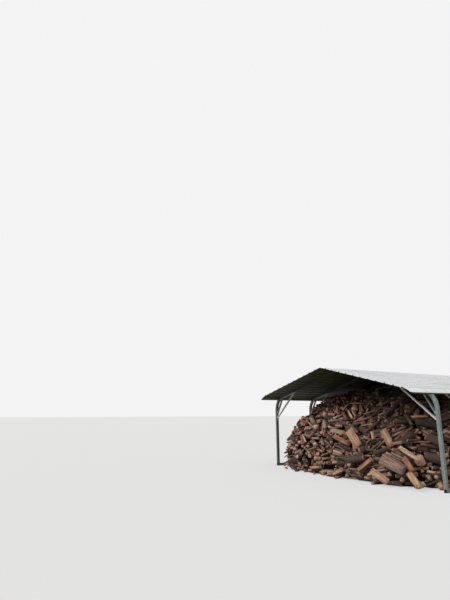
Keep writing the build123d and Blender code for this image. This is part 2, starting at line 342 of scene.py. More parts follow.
def end_finish():
    """Sawn ends with year rings, a darker heart, drying cracks and grey weathering."""
    finish, grain, tone, weather, red = wood_finish("log_end")
    wobble = finish.noise(grain, 12.0, 2.0)
    reach = finish.node("VectorMath", {0: grain}, "Value", operation="LENGTH")
    rings = finish.node("Math", {0: (reach + wobble * 0.02) * 700.0}, operation="SINE")
    saw = finish.noise(grain, (20.0, 160.0, 1.0), 2.0)
    crack = finish.node(
        "TexVoronoi", {"Vector": finish.stretched(grain, (30.0, 11.0, 1.0)), "Scale": 1.0},
        "Distance", feature="DISTANCE_TO_EDGE")
    base = finish.palette(
        tone, (0.0, (0.16, 0.080, 0.050)), (0.3, (0.38, 0.195, 0.12)),
        (0.55, (0.58, 0.34, 0.225)), (0.8, (0.76, 0.52, 0.36)), (1.0, (0.90, 0.74, 0.58)))
    base = finish.blend(red * 0.6, base, (0.68, 0.33, 0.25))
    base = finish.blend(weather * 0.6, base, (0.38, 0.30, 0.25))
    base = finish.blend((rings * 0.5 + 0.5) * 0.3, base, (0.5, 0.42, 0.36), "MULTIPLY")
    base = finish.blend(reach.ramp(0.05, 0.0) * 0.4, base, (0.4, 0.27, 0.2), "MULTIPLY")
    base = finish.blend(crack.ramp(0.05, 0.0) * 0.8, base, (0.035, 0.022, 0.016))
    return finish.set(
        Base_Color=base, Roughness=0.85,
        Normal=finish.bump(rings * 0.2 + saw + crack.ramp(0.0, 0.06), 0.002, 0.7))


def shade_finish():
    """Painted shade: near-black wood seen through the gaps between the logs."""
    finish = Finish("heap_shade")
    place = finish.place()
    lump = finish.noise(place, 9.0, 5.0, 0.7)
    base = finish.palette(lump, (0.35, (0.006, 0.005, 0.004)), (0.7, (0.04, 0.026, 0.018)))
    return finish.set(Base_Color=base, Roughness=1.0, Normal=finish.bump(lump, 0.05))


def screw_finish():
    """Zinc screw heads, a little brown."""
    finish = Finish("screw_zinc")
    place = finish.place()
    spot = finish.noise(place, 160.0, 2.0)
    base = finish.blend(spot.ramp(0.45, 0.65), (0.46, 0.47, 0.45), (0.24, 0.16, 0.10))
    return finish.set(
        Base_Color=base, Metallic=0.5, Roughness=0.4 + spot * 0.3,
        Normal=finish.bump(spot, 0.0005, 0.5))


def pale_finish(name, colour, strength):
    """Stage surface that the camera and reflections see at a plain pale level."""
    finish = Finish(name)
    camera, glossy, through = finish.rays("Camera", "Glossy", "Transmission")
    seen = (camera + glossy + through).least(1.0)
    glow = finish.node("Emission", {"Color": colour, "Strength": strength}, "Emission")
    finish.set(Base_Color=toned(colour, 0.45), Roughness=0.9, Specular_IOR_Level=0.1)
    surface = Value(finish, finish.shader.outputs[0])
    mix = finish.node("MixShader", {0: seen * 0.4, 1: surface, 2: glow}, "Shader")
    finish.feed(finish.tree.nodes["Material Output"].inputs["Surface"], mix)
    return finish.owner


def sky_light(name, strength):
    """Even light from all around, which the camera sees as a plain pale level."""
    sky = Finish(name, "worlds", "Background")
    camera, glossy = sky.rays("Camera", "Glossy")
    level = sky.node(
        "Mix", {"Factor": camera.most(glossy), "A": strength, "B": SEEN_SKY}, "Result")
    return sky.set(Color=(1.0, 1.0, 1.0), Strength=level)


# ---- modelling ----

# A placed copy of a shape: its matrix and scale, the shift of its grain, and its tone
Part = namedtuple("Part", "shape matrix scale shift tone")


def clear_selection():
    if bpy.context.object and bpy.context.object.mode != "OBJECT":
        set_mode("OBJECT")
    bpy.ops.object.select_all(action="DESELECT")


def set_mode(mode):
    bpy.ops.object.mode_set(mode=mode)


def select_faces(obj, wanted):
    """Go into edit mode with only those faces selected that pass a test."""
    set_mode("EDIT")
    bpy.ops.mesh.select_all(action="DESELECT")
    set_mode("OBJECT")
    for polygon in obj.data.polygons:
        polygon.select = wanted(polygon)
    set_mode("EDIT")


def dress(names, material):
    """Give CAD nodes a finish."""
    for name in names:
        mesh = nodes[name].data
        mesh.materials.clear()
        mesh.materials.append(material)


def placed_points(part):
    turn, start = np.array(part.matrix.to_3x3()), np.array(part.matrix.translation)
    return part.shape.points * part.scale @ turn.T + start


def surface_tree(meshes):
    """Surface of meshes, each given by its points and faces, to cast rays on."""
    points, faces = [], []
    for mesh_points, mesh_faces in meshes:
        first = len(points)
        points += mesh_points
        faces += [[first + index for index in face] for face in mesh_faces]
    return BVHTree.FromPolygons(points, faces)


def node_tree(names):
    meshes = [nodes[name].data for name in names]
    return surface_tree(
        ([vertex.co.copy() for vertex in mesh.vertices],
         [polygon.vertices for polygon in mesh.polygons]) for mesh in meshes)


def log_tree(logs):
    return surface_tree((placed_points(log).tolist(), log.shape.faces) for log in logs)


def fill(elements, name, values, kind=np.float32):
    """Set one property of all elements of a mesh, which are added if there are none."""
    if not len(elements):
        elements.add(len(values))
    elements.foreach_set(name, values.astype(kind).ravel())


def joined(name, parts, materials):
    """One object of many parts, with grain and tone for the wood finishes."""
    mesh = bpy.data.meshes.new(name)
    obj = bpy.data.objects.new(name, mesh)
    bpy.context.scene.collection.objects.link(obj)
    loops, grains, tones = [], [], []
    first = 0
    for part in parts:
        shape, (length, width, _) = part.shape, part.scale
        at_end = shape.loop_kinds[:, None] == LOG_END
        loops.append(shape.loops + first)
        grains.append(shape.grain * np.where(at_end, width, (length, width))
                      + np.where(at_end, 0.0, part.shift))
        tones.append(np.tile(np.array([*part.tone, 1.0]), (len(shape.points), 1)))
        first += len(shape.points)
    points = np.concatenate([placed_points(part) for part in parts])
    points[:, 2] = points[:, 2].clip(0.0)
    sizes = np.concatenate([part.shape.sizes for part in parts])
    kinds = np.concatenate([part.shape.kinds for part in parts])
    fill(mesh.vertices, "co", points)
    fill(mesh.loops, "vertex_index", np.concatenate(loops), np.int32)
    fill(mesh.polygons, "loop_start", np.cumsum(sizes) - sizes, np.int32)
    for material in materials:
        mesh.materials.append(material)
    fill(mesh.polygons, "material_index", kinds, np.int32)
    fill(mesh.uv_layers.new(name="grain").data, "uv", np.concatenate(grains))
    colours = mesh.color_attributes.new("log_tone", "FLOAT_COLOR", "POINT")
    fill(colours.data, "color", np.concatenate(tones))
    mesh.update(calc_edges=True)
    mesh.validate()
    return obj


class Shape:
    """Arrays of a modelled shape, ready to be copied many times."""

    def __init__(self, obj):
        mesh = obj.data
        self.points = np.array([vertex.co[:] for vertex in mesh.vertices])
        self.faces = [list(polygon.vertices) for polygon in mesh.polygons]
        self.loops = np.concatenate(self.faces)
        self.sizes = np.array([len(face) for face in self.faces])
        self.kinds = np.array([face_kind(polygon) for polygon in mesh.polygons])
        self.loop_kinds = np.repeat(self.kinds, self.sizes)
        self.grain = np.array([
            grain_place(polygon, self.points[vertex])
            for polygon in mesh.polygons for vertex in polygon.vertices])
        bpy.data.objects.remove(obj)


def face_kind(polygon):
    """Whether a face of a log is bark, split wood or an end."""
    if abs(polygon.normal.x) > 0.8:
        return LOG_END
    middle = Vector((0, polygon.center.y, polygon.center.z))
    outward = middle.normalized().dot(polygon.normal)
    return BARK if middle.length > 0.4 and outward > 0.9 else SPLIT_FACE


def grain_place(polygon, point):
    """Place of a corner on its face: along the log and round it, or across an end."""
    if abs(polygon.normal.x) > 0.8:
        return point[1], point[2]
    sideways = polygon.normal.cross(Vector((1, 0, 0)))
    return point[0], sideways.dot(Vector(point))


def model_log(cuts, seed):
    """Log one metre long and across, from a round that is split along the given planes."""
    clear_selection()
    bpy.ops.mesh.primitive_cylinder_add(
        vertices=LOG_SIDES, radius=0.5, depth=1.0, rotation=(0, math.pi / 2, 0))
    bpy.ops.object.transform_apply(location=True, rotation=True, scale=True)
    obj = bpy.context.object
    set_mode("EDIT")
    for angle, offset in cuts:
        normal = (0, math.cos(angle), math.sin(angle))
        bpy.ops.mesh.select_all(action="SELECT")
        bpy.ops.mesh.bisect(
            plane_co=[part * offset for part in normal], plane_no=normal,
            use_fill=True, clear_outer=True)
    for place in LOG_RINGS:
        bpy.ops.mesh.select_all(action="SELECT")
        bpy.ops.mesh.bisect(plane_co=(place, 0, 0), plane_no=(1, 0, 0))
    bpy.ops.mesh.select_all(action="SELECT")
    bpy.ops.transform.vertex_random(offset=0.022, seed=seed)
    set_mode("OBJECT")
    return Shape(obj)


def model_screw(size):
    """Hexagon head with a domed top on a round washer, standing on the ground."""
    clear_selection()
    bpy.ops.mesh.primitive_cylinder_add(
        vertices=16, radius=size * 0.85, depth=size * 0.18, location=(0, 0, size * 0.09))
    washer = bpy.context.object
    bpy.ops.mesh.primitive_cylinder_add(
        vertices=6, radius=size * 0.56, depth=size * 0.42, location=(0, 0, size * 0.39))
    head = bpy.context.object
    select_faces(head, lambda face: face.normal.z > 0.9)
    bpy.ops.mesh.inset(thickness=size * 0.12, depth=size * 0.05)
    set_mode("OBJECT")
    clear_selection()
    head.select_set(True)
    washer.select_set(True)
    bpy.context.view_layer.objects.active = washer
    bpy.ops.object.join()
    bpy.ops.object.transform_apply(location=True, rotation=True, scale=True)
    return Shape(washer)


def on_surface(tree, start, inward):
    """Place of a screw where a line meets a surface, its head outwards."""
    point, normal = tree.ray_cast(Vector(start), Vector(inward))[:2]
    if point is None:
        raise RuntimeError(f"no surface for a screw from {start}")
    if normal.dot(Vector(inward)) > 0:
        normal.negate()
    return Matrix.Translation(point) @ normal.to_track_quat("Z", "Y").to_matrix().to_4x4()


# ---- the heap ----

# Each round of laying: the shortest logs, as a share of the log length, and the least space
LAYING_ROUNDS = ((0.85, 0.05), (0.7, 0.06))
MOST_TRIES = 3
TRIES_IN_DROP = 20
# Search for gaps with chance rays from outside, and rings round them as wide as the plugs
PLUG_ROUNDS = 14
RAYS_IN_ROUND = 3500
LEAST_DEPTH, RING_DEPTH, MOUTH_DEPTH, PLUG_SPACING = 0.13, 0.07, 0.05, 0.16
GAP_RADII = (0.09, 0.07, 0.055, 0.045, 0.037)
RING_TURNS = (0.0, 1.05, 2.09, 3.14, 4.19, 5.24)


def share(value):
    """A value kept between 0 and 1."""
    return min(1.0, max(0.0, value))


def log_tone(chance, x, z):
    """How pale, weathered and red one log is, by its place in the heap, with painted shade:
    logs high up, and more so at the right under the roof, made darker and less red.
    """
    # Painted shade: darker and less red towards the top and the right, where the roof shades
    # the heap
    painted_shade = share(x * 0.6 + 0.1) * share(z * 2 - 1.4)
    painted_shade = max(painted_shade, min(0.7, share(z * 2 - 2.8)))
    sawn = x < -0.2 and z > 0.85
    pale = share(chance.normal(0.34 + 0.12 * sawn - 0.55 * painted_shade, 0.36))
    weather = share(chance.normal(0.62 - 0.35 * z, 0.3))
    red = share(chance.normal((0.25 + 0.3 * z + 0.25 * sawn) * (1 - 0.5 * painted_shade), 0.3))
    return pale, weather, red


def moved(grid, radius, pick):
    """Greatest or least of a grid's heights within a radius of cells."""
    result = grid.copy()
    size = grid.shape
    for dx in range(-radius, radius + 1):
        for dy in range(-radius, radius + 1):
            if dx * dx + dy * dy > radius * radius:
                continue
            shifted = np.zeros(size)
            shifted[max(dx, 0):size[0] + min(dx, 0), max(dy, 0):size[1] + min(dy, 0)] = \
                grid[max(-dx, 0):size[0] + min(-dx, 0), max(-dy, 0):size[1] + min(-dy, 0)]
            result = pick(result, shifted)
    return result


class Pile:
    """Heights of the heap on a fine grid while logs are laid on it.

    top is the form to fill, height how far it is filled, inside how far it was at first, slope
    that of the form and limit how high a log may reach.
    """

    cell = 0.03
    reach = np.array([2.64, 3.18])
    log_reach = (2.66, 3.18)
    # Where braces and bows are in the way, and what is kept free under them
    brace_start, bow_half = 1.7, 0.12
    under_brace, under_bow, between_bows = 0.07, 0.05, 0.06

    def __init__(self):
        surface = node_tree(HEAP_NODES)
        self.low = -self.reach
        self.size = np.ceil((self.reach - self.low) / self.cell).astype(int) + 1
        outer = np.zeros(self.size)
        for i, j in np.ndindex(*self.size):
            start = Vector((*self.place(i, j), OVERHEAD))
            hit = surface.ray_cast(start, Vector((0, 0, -1)))[0]
            outer[i, j] = hit.z if hit else 0.0
        self.top = self.clear_of_braces(self.uneven(moved(outer, 3, np.maximum)))
        self.height = np.maximum(moved(self.top, 10, np.minimum) - 0.1, 0.0)
        self.inside = self.height.copy()
        self.slope = np.gradient(moved(self.top, 4, np.maximum), self.cell)
        steepness = np.hypot(*np.gradient(self.top, self.cell))
        self.limit = self.top + 0.05 * np.hypot(1.0, np.minimum(steepness, 4.0))

    def place(self, i, j):
        return self.low + np.array([i, j]) * self.cell

    def clear_of_braces(self, grid):
        """Form of the heap kept under the braces and the bows."""
        x = np.abs(self.low[0] + np.arange(self.size[0]) * self.cell)
        y = self.low[1] + np.arange(self.size[1]) * self.cell
        brace = BRACE_HEIGHT - (x - BRACE_X) * BRACE_FALL - self.under_brace
        bow = BOW_HEIGHT - x / BOW_RUN - self.under_bow
        limit = np.minimum(np.where(x > self.brace_start, brace, OVERHEAD), bow).clip(0.0)
        for place in BOW_PLACES:
            near = np.abs(y - place) < self.bow_half
            grid[:, near] = np.minimum(grid[:, near], limit[:, None])
        return np.minimum(grid, (bow + self.between_bows)[:, None])

    def uneven(self, grid):
        """Dents and bulges a few logs wide, and a ragged foot."""
        result = grid.copy()
        firm = moved(grid, 5, np.minimum)
        for i, j in np.ndindex(*self.size):
            x, y = self.place(i, j)
            if grid[i, j]:
                dent = noise.noise(Vector((x * 1.3, y * 1.3, 3.7))) * 0.16 - 0.01
                result[i, j] = max(grid[i, j] + min(dent, 0.02), 0.05)
            if not firm[i, j] and noise.noise(Vector((x * 4.0, y * 4.0, 9.1))) > 0.05:
                result[i, j] = 0.0
        return result

    def cells(self, x, y):
        """Cells of the grid at given places."""
        return [np.clip(np.rint((place - low) / self.cell).astype(int), 0, size - 1)
                for place, low, size in zip((x, y), self.low, self.size)]

    def rest(self, x, y, turn, length, width):
        """Where logs come to rest: height, slope, space left under them and room above."""
        along = np.linspace(-0.48, 0.48, 12) * length[:, None]
        across = (np.array([-0.4, 0.0, 0.4]) * width[:, None])[:, None, :]
        cos, sin = np.cos(turn)[:, None, None], np.sin(turn)[:, None, None]
        i, j = self.cells(x[:, None, None] + along[:, :, None] * cos - across * sin,
                          y[:, None, None] + along[:, :, None] * sin + across * cos)
        under = self.height[i, j].max(axis=2)
        left, right = along[:, :6, None], along[:, None, 6:]
        low, high = under[:, :6, None], under[:, None, 6:]
        slopes = (high - low) / (right - left)
        middles = (low - slopes * left).reshape(len(x), -1)
        best = np.arange(len(x)), middles.argmax(axis=1)
        middle, slope = middles[best], slopes.reshape(len(x), -1)[best]
        line = middle[:, None] + slope[:, None] * along
        room = (self.limit[i, j].min(axis=2) - line).min(axis=1)
        room[self.top[i[:, 2:-2], j[:, 2:-2]].min(axis=(1, 2)) < 0.04] = -1.0
        for place, part, limit in zip((x, y), (np.cos(turn), np.sin(turn)), self.log_reach):
            room[np.abs(place) + np.abs(part) * length / 2 + width * 0.3 > limit] = -1.0
        return middle, slope, (line - under).mean(axis=1), room

    def raise_under(self, x, y, turn, middle, slope, length, width, thick):
        """Fill the grid up to the crown of a log that has been laid."""
        along = np.arange(-0.5, 0.501, 0.02 / length) * length * 0.97
        across = np.arange(-0.5, 0.501, 0.02 / width) * width * 0.9
        px = x + along[:, None] * math.cos(turn) - across[None, :] * math.sin(turn)
        py = y + along[:, None] * math.sin(turn) + across[None, :] * math.cos(turn)
        i, j = self.cells(px, py)
        crown = 1 - 0.5 * np.abs(across / width * 2)[None, :] ** 2
        top = middle + slope * along[:, None] + thick * crown
        self.height[i, j] = np.maximum(self.height[i, j], top)


def log_shapes():
    """Splits and rounds, each with the turns about its length at which it lies steadily."""
    quarter, half, third = math.pi / 2, math.pi, 2.1
    plans = [
        ([(0.0, 0.0), (quarter, 0.02)], (0.0, 0.8, 2.36, 3.9)),
        ([(0.0, 0.03), (quarter, -0.02)], (0.0, 0.8, 2.36, 3.9)),
        ([(0.0, 0.0), (third, 0.03)], (0.0, 1.6, 3.1)),
        ([(quarter, 0.03)], (0.0, half, 0.2)),
        ([(quarter, -0.04)], (0.0, half, -0.2)),
        ([(quarter, 0.04), (-quarter, 0.22)], (0.0, half)),
        ([(quarter, -0.02), (0.0, 0.2)], (0.0, half, 1.2)),
        ([], (0.0, 1.0, 2.0)),
        ([(0.3, 0.36)], (0.5, 2.2)),
    ]
    return [(model_log(cuts, seed), turns) for seed, (cuts, turns) in enumerate(plans, 1)]


def settled(shape, x, y, turn, middle, slope, length, width, roll):
    """Matrix and scale of a log that lies on its lowest line, and how thick it is."""
    scale = np.array([length, width, width])
    spin = Matrix.Rotation(roll, 4, "X")
    turned = shape.points * scale @ np.array(spin.to_3x3()).T
    low, high = turned[:, 2].min(), turned[:, 2].max()
    side = (turned[:, 1].min() + turned[:, 1].max()) / 2
    matrix = (
        Matrix.Translation((x, y, middle)) @ Matrix.Rotation(turn, 4, "Z")
        @ Matrix.Rotation(-math.atan(slope), 4, "Y")
        @ Matrix.Translation((0, -side, -low)) @ spin)
    return matrix, scale, high - low


# Large splits thrown on the front of the heap: the place of the middle, turn and roll in
# degrees, slope, length, width and shape, and how pale, weathered and red each one is
THROWN = (
    (-0.13, -2.62, 1.03, 10, 50, -0.15, 0.40, 0.11, 5, (0.75, 0.6, 0.1)),
    (0.14, -2.77, 0.88, 12, 50, -0.40, 0.46, 0.22, 1, (0.3, 0.1, 0.8)),
    (0.58, -2.82, 0.93, -12, 62, -0.90, 0.50, 0.20, 3, (0.62, 0.35, 0.2)),
    (1.49, -2.74, 0.98, -16, 60, -1.30, 0.42, 0.16, 4, (0.55, 0.5, 0.1)),
    (1.77, -2.74, 0.88, 20, 40, 0.18, 0.24, 0.12, 2, (0.3, 0.0, 0.9)),
    (0.73, -2.96, 0.55, 12, 0, 0.22, 0.46, 0.11, 6, (0.5, 0.7, 0.3)),
    (0.80, -3.00, 0.46, 12, 0, 0.20, 0.46, 0.13, 7, (0.35, 0.7, 0.4)),
    (1.12, -2.96, 0.42, 30, 35, 0.80, 0.40, 0.27, 0, (0.45, 0.0, 0.75)),
    (1.78, -2.99, 0.45, 2, 65, -0.33, 0.55, 0.22, 3, (0.30, 0.9, 0.2)),
    (2.08, -2.80, 0.68, 2, 55, -0.51, 0.50, 0.09, 4, (0.9, 0.5, 0.05)),
    (2.06, -2.82, 0.53, -16, 50, -0.95, 0.32, 0.20, 1, (0.3, 0.0, 0.8)),
    (2.07, -2.50, 0.53, -42, 0, -0.05, 0.36, 0.23, 8, (0.35, 0.0, 0.4)),
    (1.45, -3.02, 0.19, 0, 55, -0.45, 0.46, 0.14, 5, (0.8, 0.6, 0.6)),
    (2.22, -2.88, 0.25, -14, 50, -0.83, 0.36, 0.23, 1, (0.7, 0.2, 0.0)),
    (0.28, -3.02, 0.18, 40, 10, 0.50, 0.28, 0.21, 2, (0.6, 0.4, 0.5)),
    (-1.27, -2.26, 1.41, -27, 20, 0.05, 0.36, 0.15, 2, (0.55, 0.1, 0.9)),
    (-1.11, -2.37, 1.28, -33, 80, 0.00, 0.36, 0.16, 0, (0.6, 0.1, 0.8)),
    (-0.88, -2.39, 1.21, -29, 10, 0.08, 0.34, 0.19, 6, (0.65, 0.0, 0.9)),
    (-1.04, -2.25, 1.42, -22, 40, 0.05, 0.34, 0.14, 7, (0.75, 0.2, 0.7)),
    (-1.07, -2.53, 1.10, -31, 0, 0.02, 0.36, 0.13, 7, (0.9, 0.8, 0.1)),
    (-0.77, -2.60, 1.00, -25, 30, 0.04, 0.36, 0.15, 2, (0.6, 0.4, 0.5)),
)


# ---- sizes and colours ----

class LogStoreSteel(bpy.types.PropertyGroup):
    """Finishes of the frame and the roof."""

    tube_colour: FloatVectorProperty(
        name="Tube colour", description="Colour of the galvanised tubes",
        default=(0.185, 0.215, 0.212), subtype="COLOR", size=3, min=0, max=1)
    brace_colour: FloatVectorProperty(
        name="Brace colour", description="Colour of the long channel braces",
        default=(0.62, 0.60, 0.55), subtype="COLOR", size=3, min=0, max=1)
    # Grime scales both the real stain at the feet of the legs and the painted shade on the left
    # side of the frame
    grime_and_painted_shade: FloatProperty(
        name="Grime", description="How stained the feet of the legs are",
        default=0.8, min=0, max=1, subtype="FACTOR")
    sheet_colour: FloatVectorProperty(
        name="Sheet colour", description="Colour of the top of the roof sheets",
        default=(0.74, 0.755, 0.76), subtype="COLOR", size=3, min=0, max=1)
    # The underside colour is painted shade and painted green reflection
    underside_shade_colour: FloatVectorProperty(
        name="Underside colour", description="Colour of the underside of the roof sheets",
        default=(0.048, 0.050, 0.014), subtype="COLOR", size=3, min=0, max=1)
    dirt: FloatProperty(
        name="Dirt", description="How dirty the top of the roof is",
        default=0.26, min=0, max=1, subtype="FACTOR")
    screw_size: FloatProperty(
        name="Screw size", description="Width over the flats of a screw head",
        default=0.0095, min=0.005, max=0.03, unit="LENGTH")


class LogStoreWood(bpy.types.PropertyGroup):
    """Sizes of the firewood."""

    seed: IntProperty(
        name="Seed", description="Another number gives another heap", default=5, min=0)
    log_length: FloatProperty(
        name="Log length", description="Length of most logs",
        default=0.37, min=0.2, max=0.8, unit="LENGTH")
    least_width: FloatProperty(
        name="Least width", description="Width of the thinnest logs",
        default=0.075, min=0.03, max=0.2, unit="LENGTH")
    most_width: FloatProperty(
        name="Greatest width", description="Width of the thickest logs",
        default=0.2, min=0.05, max=0.4, unit="LENGTH")


class LogStoreStage(bpy.types.PropertyGroup):
    """Floor, light and camera."""

    floor_colour: FloatVectorProperty(
        name="Floor colour", description="Colour of the floor",
        default=(0.80, 0.80, 0.79), subtype="COLOR", size=3, min=0, max=1)
    lens: FloatProperty(
        name="Lens", description="Focal length of the camera in millimetres",
        default=27.0, min=10, max=200)
    sky: FloatProperty(
        name="Sky light", description="Strength of the light from all around",
        default=0.36, min=0, max=5)
    front: FloatProperty(
        name="Front light", description="Strength of the broad light from the front",
        default=2.3, min=0, max=20)
    top: FloatProperty(
        name="Top light", description="Strength of the broad light from above",
        default=1.1, min=0, max=20)


# ---- operators ----

class LOGSTORE_OT_frame_finish(bpy.types.Operator):
    """Give the tubes and braces their galvanised finish"""

    bl_idname = "logstore.frame_finish"
    bl_label = "Frame finish"

    def execute(self, context):
        steel = context.scene.log_store_steel
        dress(FRAME_NODES, zinc_finish("galvanised_tube", steel.tube_colour, steel.grime_and_painted_shade))
        dress(BRACE_NODES, zinc_finish(
            "brace_channel", steel.brace_colour, 0.0, toned(steel.tube_colour, 1.2)))
        return {"FINISHED"}


class LOGSTORE_OT_roof_finish(bpy.types.Operator):
    """Give the roof sheets and ridge caps their weathered coating"""

    bl_idname = "logstore.roof_finish"
    bl_label = "Roof finish"

    def execute(self, context):
        steel = context.scene.log_store_steel
        dress(SHEET_NODES, sheet_finish(
            "roof_sheet", steel.sheet_colour, steel.underside_shade_colour, steel.dirt))
        dress(CAP_NODES, sheet_finish(
            "ridge_cap", toned(steel.sheet_colour, 1.03), steel.underside_shade_colour, steel.dirt * 0.7))
        return {"FINISHED"}


class LOGSTORE_OT_screws(bpy.types.Operator):
    """Add the screws of the roof, the ridge caps, the braces and the tube joints"""

    bl_idname = "logstore.screws"
    bl_label = "Screws"

    # Places on the caps, braces and legs, and where rays that find these surfaces begin
    cap_reach = 0.125
    brace_heights, brace_reaches, brace_sides = (0.024, 0.130), (1.783, 2.378), (-0.013, 0.013)
    leg_heights = (0.115, 1.487)
    beside_brace, below_brace, beside_leg, past_leg = 2.5, 1.75, 2.3, 0.2

    def execute(self, context):
        screw = model_screw(context.scene.log_store_steel.screw_size)
        finish = screw_finish()
        self.add("roof_screws", screw, self.roof_places(), finish, "roof_sheet")
        self.add("brace_screws", screw, self.brace_places(), finish, "brace_channel")
        self.add("frame_screws", screw, self.frame_places(), finish, "galvanised_tube")
        return {"FINISHED"}

    def add(self, name, screw, places, finish, slot):
        """One piece of all screws at the given places."""
        plain = np.ones(3), np.zeros(2), (0.5, 0.5, 0.5)
        piece = joined(name, [Part(screw, place, *plain) for place in places], [finish])
        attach(piece, "root")

    def roof_places(self):
        """Beside each rib over each bow, and along the edges of the ridge caps."""
        reaches = [self.cap_reach]
        for rib in range(1, 12):
            down = rib * RIB_PITCH - RIB_BASE / 2 + RIB_BASE * 0.8
            reaches.append(down * math.cos(ROOF_SLOPE))
        roof = node_tree(SHEET_NODES + CAP_NODES)
        return [on_surface(roof, (side * reach, y, OVERHEAD), (0, 0, -1))
                for y in BOW_PLACES for side in (-1, 1) for reach in reaches]

    def brace_places(self):
        """Two through each flat end of each brace."""
        for node in BRACE_NODES:
            tree = node_tree([node])
            low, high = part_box(node)
            side = 1 if high.x > 0 else -1
            for offset in self.brace_sides:
                y = (low.y + high.y) / 2 + offset
                for height in self.brace_heights:
                    start = side * self.beside_brace, y, low.z + height
                    yield on_surface(tree, start, (side, 0, 0))
                for reach in self.brace_reaches:
                    start = side * reach, y, self.below_brace
                    yield on_surface(tree, start, (0, 0, 1))

    def frame_places(self):
        """Above each leg's foot and slip joint, on the inner and the end face of the tube."""
        tree = node_tree(FRAME_NODES)
        for y in BOW_PLACES:
            end = 1 if y > 0 else -1
            for side in (-1, 1):
                for z in self.leg_heights:
                    start = side * self.beside_leg, y, z
                    yield on_surface(tree, start, (side, 0, 0))
                    start = side * LEG_X, y + end * self.past_leg, z
                    yield on_surface(tree, start, (0, -end, 0))


